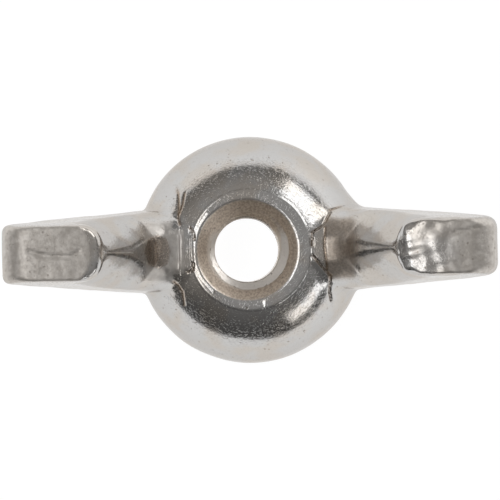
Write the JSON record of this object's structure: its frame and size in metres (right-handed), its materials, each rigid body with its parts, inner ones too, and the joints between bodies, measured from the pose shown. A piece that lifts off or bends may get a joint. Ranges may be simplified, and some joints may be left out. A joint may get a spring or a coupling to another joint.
{
  "type": "wing nut",
  "caption": "One-piece forged wing nut with a domed hub, two finger wings and a quarter-inch coarse thread, tightened by hand.",
  "frame": {"origin": "centre of the flat bearing face, on the thread's axis", "axes": "+Z along the thread axis, away from the bearing face and towards the finger pads; +X along the wings"},
  "size_m": [0.0358, 0.0178, 0.0183],
  "materials": {
    "nickel_plate": "bright nickel plate over forged steel, slightly tarnished and scuffed"
  },
  "bodies": {
    "root": {"wing_nut": "nickel_plate"}
  },
  "joints": []
}
